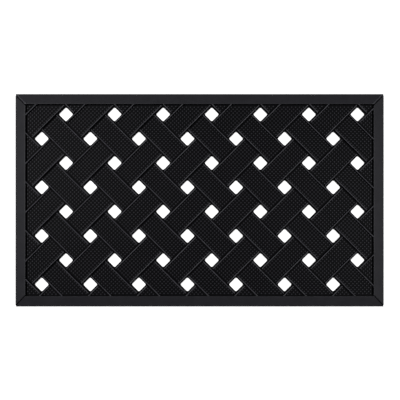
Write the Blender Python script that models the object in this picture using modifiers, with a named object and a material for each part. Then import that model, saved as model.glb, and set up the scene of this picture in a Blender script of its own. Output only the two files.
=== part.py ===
"""A rubber door mat: a mitred border of four rails round a basket weave of flat bands.

Rising bands run from front left to back right and falling bands from back left to front right.
Each band goes over one crossing band and under the next, and the squares between the bands are
open drain holes. The origin is on the floor at the middle of the mat, with +X along its length
and +Z up. All lengths are in metres.
"""

import math

import bmesh
import bpy
from mathutils import Vector

# Plan sizes.
MAT_LENGTH = 0.700
MAT_WIDTH = 0.404
RAIL_WIDTH = 0.0203
TRENCH_WIDTH = 0.0022
BAND_WIDTH = 0.0458
HOLE_SIDE = 0.0195
HOLE_CORNER_RADIUS = 0.0026
WEAVE_SHIFT = 0.0016  # how far the weave sits behind the middle of the mat
CORNER_REACH = 0.006  # a band that reaches less far than this into the field is left out

# The band's relief: a flat margin at each edge, a raised bead, and the pin field between the beads.
BEAD_MARGIN = 0.0024
BEAD_WIDTH = 0.0025
PIN_PITCH = 0.00525
PIN_DIAMETER = 0.0032
PIN_CLEARANCE = 0.0003
PIN_EDGE = 0.0003  # from the trench inside the border to the nearest pin

# Heights.
STUD_HEIGHT = 0.0012
LOWER_LAYER = 0.0011
UPPER_LAYER = 0.0012
BEAD_HEIGHT = 0.0058
PIN_HEIGHT = 0.0019
RAIL_OUTER_HEIGHT = 0.0040
RAIL_INNER_HEIGHT = 0.0080

# The border's ledge, the studs and small details.
LEDGE_WIDTH = 0.0050
STUD_DIAMETER = 0.0080
STUD_SIDES = 8
RAIL_ROUNDING = 0.0006
ROUNDING_SEGMENTS = 2
FILLET_STEPS = 3
SEAM = 0.0003  # the gap between neighbouring solids
JOIN = 0.0004  # how far shapes that are joined into one solid run into each other

# Worked out from the sizes above.
BAND_PITCH = BAND_WIDTH + HOLE_SIDE
HALF_BAND = BAND_WIDTH / 2
FIELD_HALF_X = MAT_LENGTH / 2 - RAIL_WIDTH - TRENCH_WIDTH
FIELD_HALF_Y = MAT_WIDTH / 2 - RAIL_WIDTH - TRENCH_WIDTH
TILE_LENGTH = 2 * (BAND_PITCH - HALF_BAND - SEAM)
CLEAR_WIDTH = BAND_WIDTH - 2 * (BEAD_MARGIN + BEAD_WIDTH + PIN_CLEARANCE)
LOWER_BOTTOM = STUD_HEIGHT
LOWER_TOP = LOWER_BOTTOM + LOWER_LAYER
UPPER_BOTTOM = LOWER_TOP + SEAM
DECK = UPPER_BOTTOM + UPPER_LAYER
LEDGE_HEIGHT = STUD_HEIGHT - SEAM
MAT_HEIGHT = DECK + max(PIN_HEIGHT, BEAD_HEIGHT)

RUBBER = (0.014, 0.014, 0.016, 1.0)
RUBBER_ROUGHNESS = 0.6


def clear_scene():
    for obj in list(bpy.data.objects):
        bpy.data.objects.remove(obj)


def new_collection(name, hidden=False):
    collection = bpy.data.collections.new(name)
    bpy.context.scene.collection.children.link(collection)
    collection.hide_render = hidden
    return collection


def rubber_material(name):
    material = bpy.data.materials.new(f"{name}_rubber")
    material.use_nodes = True
    shader = material.node_tree.nodes["Principled BSDF"]
    shader.inputs["Base Color"].default_value = RUBBER
    shader.inputs["Roughness"].default_value = RUBBER_ROUGHNESS
    shader.inputs["Metallic"].default_value = 0.0
    return material


def place(name, mesh, collection, location=(0, 0, 0), turn=0.0):
    """An object of this mesh, turned about +Z."""
    obj = bpy.data.objects.new(name, mesh)
    obj.location = location
    obj.rotation_euler = (0, 0, turn)
    collection.objects.link(obj)
    return obj


def as_helper(obj):
    obj.hide_render = True
    obj.display_type = "WIRE"
    return obj


def prism_mesh(name, outline, low, high):
    """The mesh of a flat outline filled from height low to height high."""
    curve = bpy.data.curves.new(name, "CURVE")
    curve.dimensions = "2D"
    curve.fill_mode = "BOTH"
    curve.extrude = (high - low) / 2
    spline = curve.splines.new("POLY")
    spline.points.add(len(outline) - 1)
    for point, (x, y) in zip(spline.points, outline):
        point.co = (x, y, 0, 1)
    spline.use_cyclic_u = True
    guide = bpy.data.objects.new(name, curve)
    bpy.context.scene.collection.objects.link(guide)
    evaluated = guide.evaluated_get(bpy.context.evaluated_depsgraph_get())
    mesh = bpy.data.meshes.new_from_object(evaluated)
    bpy.data.objects.remove(guide)
    shape = bmesh.new()
    shape.from_mesh(mesh)
    bmesh.ops.remove_doubles(shape, verts=shape.verts, dist=1e-6)
    bmesh.ops.translate(shape, verts=shape.verts, vec=(0, 0, (low + high) / 2))
    bmesh.ops.recalc_face_normals(shape, faces=shape.faces)
    shape.to_mesh(mesh)
    shape.free()
    mesh.name = name
    return mesh


def box_mesh(name, length, width, low, high):
    mesh = bpy.data.meshes.new(name)
    shape = bmesh.new()
    bmesh.ops.create_cube(shape, size=1)
    bmesh.ops.scale(shape, verts=shape.verts, vec=(length, width, high - low))
    bmesh.ops.translate(shape, verts=shape.verts, vec=(0, 0, (low + high) / 2))
    shape.to_mesh(mesh)
    shape.free()
    return mesh


def cylinder_mesh(name, diameter, low, high, sides):
    mesh = bpy.data.meshes.new(name)
    shape = bmesh.new()
    bmesh.ops.create_cone(
        shape, cap_ends=True, segments=sides, radius1=diameter / 2, radius2=diameter / 2, depth=high - low
    )
    bmesh.ops.translate(shape, verts=shape.verts, vec=(0, 0, (low + high) / 2))
    shape.to_mesh(mesh)
    shape.free()
    return mesh


def tile_outline():
    """A rectangle of the band's width, flared at its four corners to round the holes beside it."""
    half_length, radius = TILE_LENGTH / 2, HOLE_CORNER_RADIUS
    flare = []
    for step in range(FILLET_STEPS + 1):
        angle = math.pi / 2 * step / FILLET_STEPS
        along = half_length - radius + radius * math.sin(angle)
        across = HALF_BAND + radius - radius * math.cos(angle)
        flare.append((along, across))
    right = flare + [(x, -y) for x, y in reversed(flare)]
    return right + [(-x, -y) for x, y in right]


class Weave:
    """The meshes that every band is made of, in the band's own frame with X along the band."""

    def __init__(self):
        outline = tile_outline()
        bead_length = TILE_LENGTH - 2 * SEAM
        column_length = HOLE_SIDE - 2 * (SEAM + JOIN)
        rows = math.floor((CLEAR_WIDTH - PIN_DIAMETER) / PIN_PITCH)
        columns = math.floor((TILE_LENGTH - PIN_DIAMETER) / PIN_PITCH)
        self.upper = prism_mesh("upper_tile", outline, UPPER_BOTTOM, DECK)
        self.lower = prism_mesh("lower_tile", outline, LOWER_BOTTOM, LOWER_TOP)
        self.column = box_mesh(
            "column", column_length, BAND_WIDTH - 2 * JOIN, LOWER_BOTTOM + JOIN, DECK - JOIN
        )
        self.bead = box_mesh("bead", bead_length, BEAD_WIDTH, DECK - JOIN, DECK + BEAD_HEIGHT)
        self.bead_place = HALF_BAND - BEAD_MARGIN - BEAD_WIDTH / 2
        self.pins = box_mesh(
            "pin_field",
            columns * PIN_PITCH + PIN_DIAMETER,
            rows * PIN_PITCH + PIN_DIAMETER,
            DECK - JOIN,
            DECK + PIN_HEIGHT,
        )
        self.stud = cylinder_mesh("stud", STUD_DIAMETER, 0, LOWER_BOTTOM + JOIN, STUD_SIDES)


class Band:
    """One band's place. Its middle is offset from the origin, square to its length."""

    def __init__(self, name, turn, offset, crossings):
        self.name = name
        self.turn = turn
        self.along = Vector((math.cos(turn), math.sin(turn), 0))
        self.across = Vector((-math.sin(turn), math.cos(turn), 0))
        self.offset = offset
        self.crossings = crossings  # (place along the band, whether this band is on top)

    def point(self, along, across=0.0):
        return self.along * along + self.across * (self.offset + across) + Vector((0, WEAVE_SHIFT, 0))


def bands():
    """Every band that crosses the field, rising ones first. The crossings alternate like a chessboard."""
    diagonal = (FIELD_HALF_X + FIELD_HALF_Y) / math.sqrt(2)
    furthest = diagonal + HALF_BAND - CORNER_REACH
    reach = math.ceil(diagonal / BAND_PITCH) + 1
    rising_places = [k for k in range(-reach, reach + 1) if abs(k) * BAND_PITCH < furthest]
    falling_places = [j for j in range(-reach, reach) if abs(j + 0.5) * BAND_PITCH < furthest]
    made = []
    for number, k in enumerate(rising_places, 1):
        # Falling band j crosses this one at (j + 1/2) pitches along it.
        crossings = [((j + 0.5) * BAND_PITCH, (k + j) % 2 == 1) for j in range(-reach, reach)]
        made.append(Band(f"rising_band_{number:02d}", math.pi / 4, -k * BAND_PITCH, crossings))
    for number, j in enumerate(falling_places, 1):
        crossings = [(k * BAND_PITCH, (k + j) % 2 == 0) for k in range(-reach, reach + 1)]
        made.append(Band(f"falling_band_{number:02d}", -math.pi / 4, (j + 0.5) * BAND_PITCH, crossings))
    return made


def inside(point, half_x, half_y):
    return abs(point.x) < half_x and abs(point.y) < half_y


def touches(band, along, length, width, half_x, half_y):
    """Whether a rectangle centred on the band reaches into a rectangle about the origin."""
    reach = (length + width) / 2 / math.sqrt(2)
    centre = band.point(along)
    return abs(centre.x) < half_x + reach and abs(centre.y) < half_y + reach


def boolean(obj, operation, operand):
    modifier = obj.modifiers.new(operation.lower(), "BOOLEAN")
    modifier.operation = operation
    modifier.solver = "EXACT"
    if isinstance(operand, bpy.types.Collection):
        modifier.operand_type = "COLLECTION"
        modifier.collection = operand
    else:
        modifier.object = operand


def add_studs(band, weave, pieces):
    """A grip stud under each stretch between two crossings, where it is clear of the border's ledge."""
    clear = LEDGE_WIDTH - TRENCH_WIDTH + STUD_DIAMETER / 2 + SEAM
    for along, _ in band.crossings:
        point = band.point(along + BAND_PITCH / 2)
        if inside(point, FIELD_HALF_X - clear, FIELD_HALF_Y - clear):
            as_helper(place(f"{band.name}_stud", weave.stud, pieces, point, band.turn))


def make_band(band, weave, mat, field_cutter, pin_cutter):
    pieces = new_collection(f"{band.name}_pieces", hidden=True)
    tiles = []
    blocks = []
    for along, on_top in band.crossings:
        if not touches(band, along, TILE_LENGTH, BAND_WIDTH, FIELD_HALF_X, FIELD_HALF_Y):
            continue
        tiles.append((weave.upper if on_top else weave.lower, band.point(along)))
        column = band.point(along + BAND_PITCH / 2)
        as_helper(place(f"{band.name}_column", weave.column, pieces, column, band.turn))
        if not on_top:
            continue
        for side in (-1, 1):
            spot = band.point(along, side * weave.bead_place)
            as_helper(place(f"{band.name}_bead", weave.bead, pieces, spot, band.turn))
        blocks.append(band.point(along))
    for tile, spot in tiles[1:]:
        as_helper(place(f"{band.name}_tile", tile, pieces, spot, band.turn))
    add_studs(band, weave, pieces)
    first_tile, first_spot = tiles[0]
    body = place(band.name, first_tile.copy(), mat, first_spot, band.turn)
    body.data.materials.append(rubber_material(band.name))
    boolean(body, "UNION", pieces)
    if blocks:
        boolean(body, "UNION", pin_blocks(band, weave, blocks, pin_cutter))
    boolean(body, "INTERSECT", field_cutter)


def pin_blocks(band, weave, blocks, pin_cutter):
    """The band's blocks of pins in one helper, kept clear of the trench inside the border."""
    others = new_collection(f"{band.name}_pin_blocks", hidden=True)
    pins = as_helper(place(f"{band.name}_pins", weave.pins.copy(), others, blocks[0], band.turn))
    if len(blocks) > 1:
        rest = new_collection(f"{band.name}_more_pin_blocks", hidden=True)
        for spot in blocks[1:]:
            as_helper(place(f"{band.name}_pins", weave.pins, rest, spot, band.turn))
        boolean(pins, "UNION", rest)
    boolean(pins, "INTERSECT", pin_cutter)
    return pins


def rail_section():
    """The rail's section: distance in from the mat's edge, then height."""
    return [
        (0, 0),
        (RAIL_WIDTH + LEDGE_WIDTH, 0),
        (RAIL_WIDTH + LEDGE_WIDTH, LEDGE_HEIGHT),
        (RAIL_WIDTH, LEDGE_HEIGHT),
        (RAIL_WIDTH, RAIL_INNER_HEIGHT),
        (0, RAIL_OUTER_HEIGHT),
    ]


def make_rail(name, length, distance, turn, mat):
    """A rail with its outer edge at this distance from the origin, mitred at both ends."""
    mesh = prism_mesh(name, rail_section(), -length / 2, length / 2)
    shape = bmesh.new()
    shape.from_mesh(mesh)
    for vert in shape.verts:
        inward, height, along = vert.co
        vert.co = (along, inward - distance, height)
    for side in (-1, 1):
        # The mitre runs in from the rail's corner at 45 degrees, half a seam short of it.
        corner = Vector((side * (length / 2 - SEAM / math.sqrt(2)), -distance, 0))
        cut = bmesh.ops.bisect_plane(
            shape,
            geom=shape.verts[:] + shape.edges[:] + shape.faces[:],
            plane_co=corner,
            plane_no=(side, 1, 0),
            clear_outer=True,
        )
        edges = [piece for piece in cut["geom_cut"] if isinstance(piece, bmesh.types.BMEdge)]
        bmesh.ops.contextual_create(shape, geom=edges)
    bmesh.ops.recalc_face_normals(shape, faces=shape.faces)
    shape.to_mesh(mesh)
    shape.free()
    rail = place(name, mesh, mat, turn=turn)
    mesh.materials.append(rubber_material(name))
    rounding = rail.modifiers.new("rounding", "BEVEL")
    rounding.width = RAIL_ROUNDING
    rounding.segments = ROUNDING_SEGMENTS
    rounding.limit_method = "ANGLE"
    mesh.shade_smooth()
    mesh.set_sharp_from_angle(angle=math.radians(40))


def main():
    clear_scene()
    mat = new_collection("door_mat")
    cutters = new_collection("cutters", hidden=True)
    over = 2 * MAT_HEIGHT
    field = box_mesh("field", 2 * FIELD_HALF_X, 2 * FIELD_HALF_Y, -over, over)
    pin_area = box_mesh(
        "pin_area", 2 * (FIELD_HALF_X - PIN_EDGE), 2 * (FIELD_HALF_Y - PIN_EDGE), -over, over
    )
    field_cutter = as_helper(place("field_cutter", field, cutters))
    pin_cutter = as_helper(place("pin_cutter", pin_area, cutters))
    weave = Weave()
    for band in bands():
        make_band(band, weave, mat, field_cutter, pin_cutter)
    make_rail("front_rail", MAT_LENGTH, MAT_WIDTH / 2, 0, mat)
    make_rail("back_rail", MAT_LENGTH, MAT_WIDTH / 2, math.pi, mat)
    make_rail("left_rail", MAT_WIDTH, MAT_LENGTH / 2, -math.pi / 2, mat)
    make_rail("right_rail", MAT_WIDTH, MAT_LENGTH / 2, math.pi / 2, mat)


main()
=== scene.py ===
"""The looks of a black rubber door mat: a woven field of pinned bands inside a smooth border.

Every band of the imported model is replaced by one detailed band: a slab that weaves over and under
the others, a raised bead along each edge, and rows of tapered pins. The rails are replaced by rails
with the same place and size and a finer section. All lengths are in metres, in the model's frame.
"""

import math

import bmesh
import bpy
import numpy as np
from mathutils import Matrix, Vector


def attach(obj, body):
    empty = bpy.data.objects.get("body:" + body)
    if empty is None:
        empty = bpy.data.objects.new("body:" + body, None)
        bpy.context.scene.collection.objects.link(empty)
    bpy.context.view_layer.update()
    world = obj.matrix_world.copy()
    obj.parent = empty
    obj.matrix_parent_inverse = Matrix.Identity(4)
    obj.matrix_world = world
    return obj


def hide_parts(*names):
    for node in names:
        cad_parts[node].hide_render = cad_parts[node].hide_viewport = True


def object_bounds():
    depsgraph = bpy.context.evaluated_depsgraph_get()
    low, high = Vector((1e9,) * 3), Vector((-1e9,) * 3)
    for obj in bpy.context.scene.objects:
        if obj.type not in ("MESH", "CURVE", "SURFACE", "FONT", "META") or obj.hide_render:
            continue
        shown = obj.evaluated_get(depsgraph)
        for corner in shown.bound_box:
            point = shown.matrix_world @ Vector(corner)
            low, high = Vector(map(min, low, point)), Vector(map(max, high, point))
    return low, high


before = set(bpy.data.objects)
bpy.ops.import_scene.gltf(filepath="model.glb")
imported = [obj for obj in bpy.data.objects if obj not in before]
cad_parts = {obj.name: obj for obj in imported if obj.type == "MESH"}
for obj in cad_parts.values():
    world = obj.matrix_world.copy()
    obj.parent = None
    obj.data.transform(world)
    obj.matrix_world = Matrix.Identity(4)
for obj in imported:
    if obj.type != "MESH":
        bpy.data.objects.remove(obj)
cad_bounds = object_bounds()

# Plan sizes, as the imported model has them.
BAND_WIDTH = 0.0458
HOLE_SIDE = 0.0195
HOLE_CORNER_RADIUS = 0.0026
WEAVE_SHIFT = 0.0016
RAIL_WIDTH = 0.0203
TRENCH_WIDTH = 0.0022
LEDGE_WIDTH = 0.0050
BEAD_MARGIN = 0.0024
BEAD_WIDTH = 0.0025
PIN_PITCH = 0.00525
PIN_EDGE = 0.0004
PIN_ROWS = 7
PIN_COLUMNS = 16
SEAM = 0.0003

# Heights above the floor.
STUD_HEIGHT = 0.0012
LOWER_TOP = 0.0023
UPPER_BOTTOM = 0.0026
DECK = 0.0038
PIN_TOP = 0.0057
BEAD_TOP = 0.0096
LEDGE_HEIGHT = 0.0009
RAIL_OUTER_HEIGHT = 0.0040
RAIL_INNER_HEIGHT = 0.0080

# The finer shapes. STEP is a gap too small to see, and pins, beads and studs are SUNK into the band.
STEP = 0.00001
SUNK = 0.0003
SLAB_ROUNDING = 0.0003
BEAD_CREST = 0.0021
BEAD_STEPS = 6
PIN_BASE_RADIUS = 0.0016
PIN_TOP_RADIUS = 0.0014
PIN_ROUNDING = 0.0003
PIN_SIDES = 10
FILLET_STEPS = 5
STUD_RADIUS = 0.0040
STUD_ROUNDING = 0.0003
STUD_SIDES = 24
RAIL_EASING = 0.0006
RAIL_LIP = 0.0014
CORNER_RADIUS = 0.0018
RIB_WIDTH = 0.0030
RIB_HEIGHT = 0.0008
WORN_RIB_HEIGHT = 0.0004
GROOVE_WIDTH = 0.0026
GROOVE_DEPTH = 0.0025
END_SLOPE = 0.0004

# Colours: the black with painted shade for recesses and walls, and the grey of the painted highlight on
# upward crests; and how steeply a face may lie and still count as an upward one.
PAINTED_SHADE_BLACK = (0.0034, 0.0034, 0.0044)
PAINTED_HIGHLIGHT_GREY = (0.049, 0.048, 0.059)
UPWARD = 0.3

(low_x, low_y, low_z), (high_x, high_y, high_z) = cad_bounds
MAT_LENGTH = high_x - low_x
MAT_WIDTH = high_y - low_y
CENTRE = np.array([(low_x + high_x) / 2, (low_y + high_y) / 2, low_z])
BAND_PITCH = BAND_WIDTH + HOLE_SIDE
HALF_BAND = BAND_WIDTH / 2
BEAD_OUTER = HALF_BAND - BEAD_MARGIN
BEAD_LINE = BEAD_OUTER - BEAD_WIDTH / 2
NEAR = HALF_BAND + STEP
TILE_HALF = BAND_PITCH - HALF_BAND - SEAM
FIELD_HALF_X = MAT_LENGTH / 2 - RAIL_WIDTH - TRENCH_WIDTH
FIELD_HALF_Y = MAT_WIDTH / 2 - RAIL_WIDTH - TRENCH_WIDTH
STUD_ROOM = LEDGE_WIDTH - TRENCH_WIDTH + STUD_RADIUS + SEAM

# Bands are counted from the middle of the mat: up to REACH to each side, and these are the middle
# ones' numbers in their nodes' names.
REACH = 7
MIDDLE_RISING = 6
MIDDLE_FALLING = 7


def new_mesh(name, shape):
    """A mesh made from the bmesh, with its faces turned outward. The bmesh is freed."""
    bmesh.ops.recalc_face_normals(shape, faces=shape.faces)
    mesh = bpy.data.meshes.new(name)
    shape.to_mesh(mesh)
    shape.free()
    return mesh


class MeshParts:
    """Closed shells gathered into one mesh."""

    def __init__(self):
        self.verts = []
        self.faces = []
        self.count = 0

    def add(self, verts, faces):
        self.verts.append(np.asarray(verts, dtype=float))
        self.faces.extend([tuple(i + self.count for i in face) for face in faces])
        self.count += len(verts)

    def mesh(self, name):
        mesh = bpy.data.meshes.new(f"{name}_shells")
        mesh.from_pydata(np.concatenate(self.verts), [], self.faces)
        shape = bmesh.new()
        shape.from_mesh(mesh)
        return new_mesh(name, shape)


def loft(sections):
    """A closed shell through sections with equal numbers of points, capped at both ends."""
    size = len(sections[0])
    faces = [tuple(range(size))]
    for k in range(len(sections) - 1):
        a, b = k * size, (k + 1) * size
        for i in range(size):
            j = (i + 1) % size
            faces.append((a + j, a + i, b + i, b + j))
    last = (len(sections) - 1) * size
    faces.append(tuple(last + i for i in reversed(range(size))))
    return np.concatenate(sections), faces


def slab_section(x, half_width, low, high):
    """A slab's section across the band, with its long edges eased."""
    r = SLAB_ROUNDING
    half = [
        (half_width - r, low),
        (half_width, low + r),
        (half_width, high - r),
        (half_width - r * 0.3, high - r * 0.3),
        (half_width - r, high),
    ]
    outline = half + [(-y, z) for y, z in reversed(half)]
    return np.array([(x, y, z) for y, z in outline])


def hole_fillet():
    """The hole's rounded corner: distances back from the band's dive, with the added half width there."""
    r = HOLE_CORNER_RADIUS
    angles = np.linspace(0, math.pi / 2, FILLET_STEPS + 1)
    return [(r * (1 - math.sin(angle)), r * (1 - math.cos(angle))) for angle in angles]


def band_sections(crossings):
    """The woven slab's sections along the whole band."""
    sections = []
    for along, on_top in crossings:
        # Over the crossing band it is narrower by the margins and raised off it. Under it, it is thin.
        half_width = BEAD_OUTER if on_top else HALF_BAND
        low, high = (UPPER_BOTTOM, DECK) if on_top else (STUD_HEIGHT, LOWER_TOP)
        sections.append(slab_section(along - NEAR, half_width, low, high))
        sections.append(slab_section(along + NEAR, half_width, low, high))
        # Beside the holes it has its full width and height, and flares where it dives under.
        start = along + NEAR + STEP
        end = along + BAND_PITCH - NEAR - STEP
        if on_top:
            column = [(start, 0.0)] + [(end - back, widen) for back, widen in hole_fillet()]
        else:
            column = [(start + back, widen) for back, widen in reversed(hole_fillet())] + [(end, 0.0)]
        for x, widen in column:
            sections.append(slab_section(x, HALF_BAND + widen, STUD_HEIGHT, DECK))
    return sections


def bead_section(x, y):
    """A bead's section across the band: sloped sides and a round crest."""
    base = BEAD_WIDTH / 2
    crest = BEAD_CREST / 2
    points = [(base, DECK - SUNK), (base, DECK)]
    for angle in np.linspace(0, math.pi, BEAD_STEPS + 1):
        points.append((crest * math.cos(angle), BEAD_TOP - crest + crest * math.sin(angle)))
    points += [(-base, DECK), (-base, DECK - SUNK)]
    return np.array([(x, y + dy, z) for dy, z in points])


def turning(angle):
    """The matrix of a turn about the vertical."""
    cos, sin = math.cos(angle), math.sin(angle)
    return np.array([[cos, -sin, 0], [sin, cos, 0], [0, 0, 1]])


def turned(rings, sides):
    """A closed shell turned about the vertical, through rings of (radius, height) from the bottom up."""
    angles = np.arange(sides) * 2 * math.pi / sides
    circle = np.stack([np.cos(angles), np.sin(angles), np.zeros(sides)], axis=1)
    return loft([radius * circle + [0, 0, z] for radius, z in rings])


PIN_RINGS = (
    (PIN_BASE_RADIUS, DECK - SUNK),
    (PIN_TOP_RADIUS, PIN_TOP - PIN_ROUNDING),
    (PIN_TOP_RADIUS - PIN_ROUNDING, PIN_TOP),
)
STUD_RINGS = (
    (STUD_RADIUS - STUD_ROUNDING, 0.0),
    (STUD_RADIUS, STUD_ROUNDING),
    (STUD_RADIUS, STUD_HEIGHT + SUNK),
)
PIN_VERTS, PIN_FACES = turned(PIN_RINGS, PIN_SIDES)
STUD_VERTS, STUD_FACES = turned(STUD_RINGS, STUD_SIDES)


class Band:
    """One band's place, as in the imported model. Its crossings are (place along it, is it on top)."""

    def __init__(self, name, turn, offset, crossings):
        self.name = name
        self.matrix = turning(turn)
        self.offset = offset
        self.crossings = crossings

    def world(self, points):
        points = np.atleast_2d(np.asarray(points, dtype=float)) + [0, self.offset, 0]
        return points @ self.matrix.T + CENTRE + [0, WEAVE_SHIFT, 0]

    def room(self, x, y):
        """How far a place on the band lies inside the field's nearest edge."""
        spot = self.world([(x, y, 0)])[0] - CENTRE
        return min(FIELD_HALF_X - abs(spot[0]), FIELD_HALF_Y - abs(spot[1]))


def bands():
    """The bands of the weave, rising ones first, numbered as their nodes are."""
    made = []
    steps = range(-REACH, REACH + 1)
    for k in steps:
        name = f"rising_band_{k + MIDDLE_RISING:02d}"
        crossings = [((j + 0.5) * BAND_PITCH, (k + j) % 2 == 1) for j in steps[:-1]]
        made.append(Band(name, math.pi / 4, -k * BAND_PITCH, crossings))
    for j in steps:
        name = f"falling_band_{j + MIDDLE_FALLING:02d}"
        crossings = [(k * BAND_PITCH, (k + j) % 2 == 0) for k in steps]
        made.append(Band(name, -math.pi / 4, (j + 0.5) * BAND_PITCH, crossings))
    return [band for band in made if band.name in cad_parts]


def trimmed(mesh, half_x, half_y):
    """The mesh cut back to a rectangle about the mat's middle, with the cuts closed."""
    shape = bmesh.new()
    shape.from_mesh(mesh)
    sides = (((1, 0, 0), half_x), ((-1, 0, 0), half_x), ((0, 1, 0), half_y), ((0, -1, 0), half_y))
    for normal, half in sides:
        cut = bmesh.ops.bisect_plane(
            shape,
            geom=shape.verts[:] + shape.edges[:] + shape.faces[:],
            plane_co=CENTRE + np.array(normal) * half,
            plane_no=normal,
            clear_outer=True,
        )
        edges = [piece for piece in cut["geom_cut"] if isinstance(piece, bmesh.types.BMEdge)]
        bmesh.ops.holes_fill(shape, edges=edges)
    return new_mesh(mesh.name, shape)


def beads_mesh(band):
    """The raised beads along both edges, wherever the band is on top."""
    beads = MeshParts()
    for along, on_top in band.crossings:
        if not on_top:
            continue
        for side in (-1, 1):
            ends = (along - TILE_HALF, along + TILE_HALF)
            verts, faces = loft([bead_section(x, side * BEAD_LINE) for x in ends])
            beads.add(band.world(verts), faces)
    # They cross the groove inside the border and stop just short of the rails.
    past = TRENCH_WIDTH - SEAM
    return trimmed(beads.mesh("beads"), FIELD_HALF_X + past, FIELD_HALF_Y + past)


def pin_places(along):
    """The places of the pins about one crossing, along and across the band."""
    for column in range(PIN_COLUMNS):
        x = along + (column - (PIN_COLUMNS - 1) / 2) * PIN_PITCH
        for row in range(PIN_ROWS):
            yield x, (row - (PIN_ROWS - 1) / 2) * PIN_PITCH


def pin_meshes(band):
    """The whole pins with the grip studs below, and the pins that the field's edge cuts."""
    whole = MeshParts()
    cut = MeshParts()
    for along, on_top in band.crossings:
        between = along + BAND_PITCH / 2
        if band.room(between, 0) > STUD_ROOM:
            whole.add(band.world(STUD_VERTS + [between, 0, 0]), STUD_FACES)
        if not on_top:
            continue
        for x, y in pin_places(along):
            room = band.room(x, y)
            if room > PIN_EDGE:
                pins = whole if room > PIN_BASE_RADIUS else cut
                pins.add(band.world(PIN_VERTS + [x, y, 0]), PIN_FACES)
    meshes = []
    if whole.count:
        meshes.append(whole.mesh("pins"))
    if cut.count:
        meshes.append(trimmed(cut.mesh("cut_pins"), FIELD_HALF_X - STEP, FIELD_HALF_Y - STEP))
    return meshes


def band_mesh(band):
    """One band's slab, beads, pins and studs, with a material for each kind of face."""
    slab = MeshParts()
    verts, faces = loft(band_sections(band.crossings))
    slab.add(band.world(verts), faces)
    meshes = [trimmed(slab.mesh("slab"), FIELD_HALF_X, FIELD_HALF_Y), beads_mesh(band), *pin_meshes(band)]
    shape = bmesh.new()
    for part in meshes:
        shape.from_mesh(part)
    mesh = new_mesh(band.name, shape)
    # The first material is the recesses', the second the pin tops' and the third the bead crests'.
    for face in mesh.polygons:
        if face.normal.z > UPWARD:
            height = face.center.z - low_z
            face.material_index = (height > PIN_TOP - PIN_ROUNDING) + (height > BEAD_TOP - BEAD_CREST)
    return mesh


def rail_profile(lift):
    """The rail's section: distance in from the mat's edge, then height, with its top lifted.

    The small offsets round the two edges of its top.
    """
    inner = RAIL_INNER_HEIGHT + lift
    outer = RAIL_OUTER_HEIGHT + lift
    return [
        (0.0, 0.0),
        (RAIL_WIDTH + LEDGE_WIDTH, 0.0),
        (RAIL_WIDTH + LEDGE_WIDTH, LEDGE_HEIGHT),
        (RAIL_WIDTH, LEDGE_HEIGHT),
        (RAIL_WIDTH, inner - RAIL_EASING),
        (RAIL_WIDTH - RAIL_EASING / 3, inner - RAIL_EASING / 3),
        (RAIL_WIDTH - RAIL_EASING, inner),
        (RAIL_WIDTH - 0.0020, inner - 0.0001),
        (0.0012, outer + 0.0001),
        (0.0004, outer - 0.0005),
        (0.0, max(outer - RAIL_LIP, STEP)),
    ]


def corner_cut(back):
    """How far in the rounded corner starts, this far back from the mitre."""
    if back >= CORNER_RADIUS:
        return 0.0
    return CORNER_RADIUS - (back + math.sqrt(2 * CORNER_RADIUS**2 - back**2)) / 2


def rail_mesh(name, length, distance, turn, end_lift, end_width):
    """A sloped rail with mitred ends, its outer edge at this distance from the mat's middle.

    Beside the mitre its top is lifted as a rib, or lowered as a groove.
    """
    level = end_width + END_SLOPE
    backs = [(STEP, end_lift), (end_width / 2, end_lift), (end_width, end_lift), (level, 0.0)]
    backs.append((level + CORNER_RADIUS, 0.0))
    sections = []
    for side, ends in ((-1, backs), (1, backs[::-1])):
        for back, lift in ends:
            cut = corner_cut(back)
            section = []
            for inward, z in rail_profile(lift):
                inward = max(inward, cut)
                section.append((side * (length / 2 - inward - back), inward - distance, z))
            sections.append(np.array(section))
    verts, faces = loft(sections)
    parts = MeshParts()
    parts.add(verts @ turning(turn).T + CENTRE, faces)
    mesh = parts.mesh(name)
    # The first material is the sloped top's, the second the mitre's and the third the recesses'.
    for face in mesh.polygons:
        in_x = MAT_LENGTH / 2 - abs(face.center.x - CENTRE[0])
        in_y = MAT_WIDTH / 2 - abs(face.center.y - CENTRE[1])
        if face.normal.z < UPWARD or face.center.z - low_z < LEDGE_HEIGHT + STEP:
            face.material_index = 2
        elif abs(in_x - in_y) < end_width:
            face.material_index = 1
    return mesh


def ranged(nodes, links, source, low, high, to_low=0.0, to_high=1.0):
    """A value taken from the range low..high to the range to_low..to_high."""
    node = nodes.new("ShaderNodeMapRange")
    node.inputs["From Min"].default_value = low
    node.inputs["From Max"].default_value = high
    node.inputs["To Min"].default_value = to_low
    node.inputs["To Max"].default_value = to_high
    links.new(source, node.inputs["Value"])
    return node.outputs["Result"]


def times(nodes, links, first, second):
    """The product of two values."""
    node = nodes.new("ShaderNodeMath")
    node.operation = "MULTIPLY"
    links.new(first, node.inputs[0])
    links.new(second, node.inputs[1])
    return node.outputs["Value"]


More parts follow.
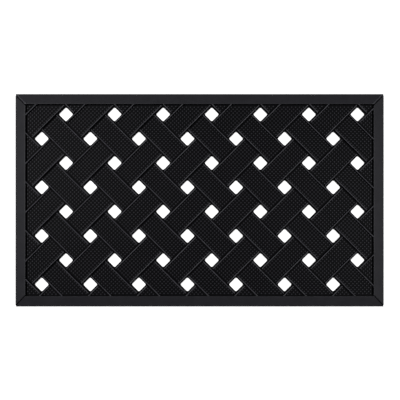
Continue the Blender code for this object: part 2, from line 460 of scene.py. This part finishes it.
def rubber(name, heights, roughness, shine):
    """Moulded rubber with painted shade and a painted highlight: black in its recesses and on its walls,
    paler on its upward crests.

    The painted highlight's strength is given as (height, strength) pairs, and between them it runs
    straight.
    """
    material = bpy.data.materials.new(name)
    material.use_nodes = True
    nodes = material.node_tree.nodes
    links = material.node_tree.links
    shader = nodes["Principled BSDF"]
    coordinates = nodes.new("ShaderNodeTexCoord")
    axes = nodes.new("ShaderNodeSeparateXYZ")
    links.new(coordinates.outputs["Object"], axes.inputs["Vector"])
    low, high = heights[0][0], heights[-1][0]
    ramp = nodes.new("ShaderNodeValToRGB")
    links.new(ranged(nodes, links, axes.outputs["Z"], low, high), ramp.inputs["Fac"])
    stops = ramp.color_ramp.elements
    while len(stops) < len(heights):
        stops.new(0.5)
    for stop, (height, strength) in zip(stops, heights):
        stop.position = (height - low) / (high - low)
        stop.color = (strength, strength, strength, 1)
    facing = nodes.new("ShaderNodeNewGeometry")
    normal = nodes.new("ShaderNodeSeparateXYZ")
    links.new(facing.outputs["Normal"], normal.inputs["Vector"])
    upward = ranged(nodes, links, normal.outputs["Z"], 0.2, 0.9)
    # The painted highlight: paler where the ramp rises, on upward faces only; elsewhere the painted shade
    # stays.
    painted_highlight = times(nodes, links, ramp.outputs["Color"], upward)
    mottle = nodes.new("ShaderNodeTexNoise")
    mottle.inputs["Scale"].default_value = 60.0
    mottle.inputs["Detail"].default_value = 5.0
    links.new(coordinates.outputs["Object"], mottle.inputs["Vector"])
    uneven = ranged(nodes, links, mottle.outputs["Fac"], 0.3, 0.7, 0.85, 1.15)
    amount = times(nodes, links, painted_highlight, uneven)
    tone = nodes.new("ShaderNodeMix")
    tone.data_type = "RGBA"
    links.new(amount, tone.inputs["Factor"])
    tone.inputs["A"].default_value = (*PAINTED_SHADE_BLACK, 1)
    tone.inputs["B"].default_value = (*PAINTED_HIGHLIGHT_GREY, 1)
    links.new(tone.outputs["Result"], shader.inputs["Base Color"])
    shader.inputs["Roughness"].default_value = roughness
    shader.inputs["Specular IOR Level"].default_value = shine
    return material


def place(name, mesh, *materials):
    """Put a finished piece on the mat."""
    for material in materials:
        mesh.materials.append(material)
    piece = bpy.data.objects.new(name, mesh)
    bpy.context.scene.collection.objects.link(piece)
    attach(piece, "root")
    return piece


# The painted highlight's strength by height: none in the recesses, which keep the painted shade, some on
# the pins and rails, most on the crests.
band_heights = ((DECK + 0.0004, 0.0), (PIN_TOP - 0.0004, 0.44), (BEAD_TOP - 0.001, 0.88))
rail_heights = ((LEDGE_HEIGHT, 0.0), (RAIL_OUTER_HEIGHT - 0.0006, 0.345), (RAIL_INNER_HEIGHT, 0.345))
# Beside the mitres: a strong painted highlight on the back ribs, and painted shade in the grooves.
rib_heights = ((0.0, 0.0), (RAIL_OUTER_HEIGHT, 0.9), (RAIL_INNER_HEIGHT, 0.9))
groove_heights = ((0.0, 0.0), (RAIL_INNER_HEIGHT, 0.05))
recess_rubber = rubber("recess_rubber", band_heights, 0.5, 0.05)
pin_rubber = rubber("pin_rubber", band_heights, 0.5, 0.2)
crest_rubber = rubber("crest_rubber", band_heights, 0.5, 0.45)
rail_rubber = rubber("rail_rubber", rail_heights, 0.5, 0.22)
rib_rubber = rubber("rib_rubber", rib_heights, 0.45, 0.45)
groove_rubber = rubber("groove_rubber", groove_heights, 0.6, 0.05)
rail_recess_rubber = rubber("rail_recess_rubber", rail_heights, 0.5, 0.05)

for band in bands():
    piece = place(f"woven_{band.name}", band_mesh(band), recess_rubber, pin_rubber, crest_rubber)
    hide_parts(band.name)

# Each rail's length, distance from the middle, turn, and the rib or groove beside its mitres, with the
# material there. The back ribs carry a strong painted highlight and the grooves painted shade; the front
# ribs are lower, and without the painted highlight.
rails = (
    ("front_rail", MAT_LENGTH, MAT_WIDTH / 2, 0, WORN_RIB_HEIGHT, RIB_WIDTH, rail_rubber),
    ("back_rail", MAT_LENGTH, MAT_WIDTH / 2, math.pi, RIB_HEIGHT, RIB_WIDTH, rib_rubber),
    ("left_rail", MAT_WIDTH, MAT_LENGTH / 2, -math.pi / 2, -GROOVE_DEPTH, GROOVE_WIDTH, groove_rubber),
    ("right_rail", MAT_WIDTH, MAT_LENGTH / 2, math.pi / 2, -GROOVE_DEPTH, GROOVE_WIDTH, groove_rubber),
)
for name, length, distance, turn, lift, width, end_rubber in rails:
    mesh = rail_mesh(name, length, distance, turn, lift, width)
    piece = place(f"smooth_{name}", mesh, rail_rubber, end_rubber, rail_recess_rubber)
    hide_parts(name)


def floor():
    """A plain pale floor, bright enough to stay white around the black mat."""
    mesh = bpy.data.meshes.new("floor")
    shape = bmesh.new()
    bmesh.ops.create_grid(shape, x_segments=1, y_segments=1, size=6)
    shape.to_mesh(mesh)
    shape.free()
    obj = bpy.data.objects.new("floor", mesh)
    obj.location = (0, 0, low_z - STEP)
    bpy.context.scene.collection.objects.link(obj)
    material = bpy.data.materials.new("pale_floor")
    material.use_nodes = True
    shader = material.node_tree.nodes["Principled BSDF"]
    shader.inputs["Base Color"].default_value = (0.9, 0.9, 0.9, 1)
    shader.inputs["Roughness"].default_value = 0.9
    shader.inputs["Emission Color"].default_value = (1, 1, 1, 1)
    shader.inputs["Emission Strength"].default_value = 0.7
    mesh.materials.append(material)


def soft_light(name, location, power):
    """A round softbox that points at the mat's middle."""
    light = bpy.data.lights.new(name, "AREA")
    light.shape = "DISK"
    light.size = 0.9
    light.energy = power
    obj = bpy.data.objects.new(name, light)
    obj.location = location
    obj.rotation_euler = (-Vector(location)).to_track_quat("-Z", "Y").to_euler()
    bpy.context.scene.collection.objects.link(obj)


def camera():
    """Looks straight down from aside of the middle, with the lens shifted back onto the mat."""
    height = 1.20
    aside = (0.030, -0.070)
    middle = (0.0008, 0.0004)
    span = 0.7590
    mat_height = 0.005
    data = bpy.data.cameras.new("camera")
    data.sensor_width = 36
    data.lens = data.sensor_width * (height - mat_height) / span
    data.shift_x = (middle[0] - aside[0]) / span
    data.shift_y = (middle[1] - aside[1]) / span
    obj = bpy.data.objects.new("camera", data)
    obj.location = (*aside, height)
    bpy.context.scene.collection.objects.link(obj)
    bpy.context.scene.camera = obj


floor()
camera()
soft_light("left_soft", (-1.0, 0.35, 1.9), 20)
soft_light("right_soft", (1.0, 0.0, 1.9), 15)
world = bpy.data.worlds.new("world")
world.use_nodes = True
world.node_tree.nodes["Background"].inputs["Color"].default_value = (1, 1, 1, 1)
world.node_tree.nodes["Background"].inputs["Strength"].default_value = 0.06
bpy.context.scene.world = world
bpy.context.scene.view_settings.view_transform = "Standard"
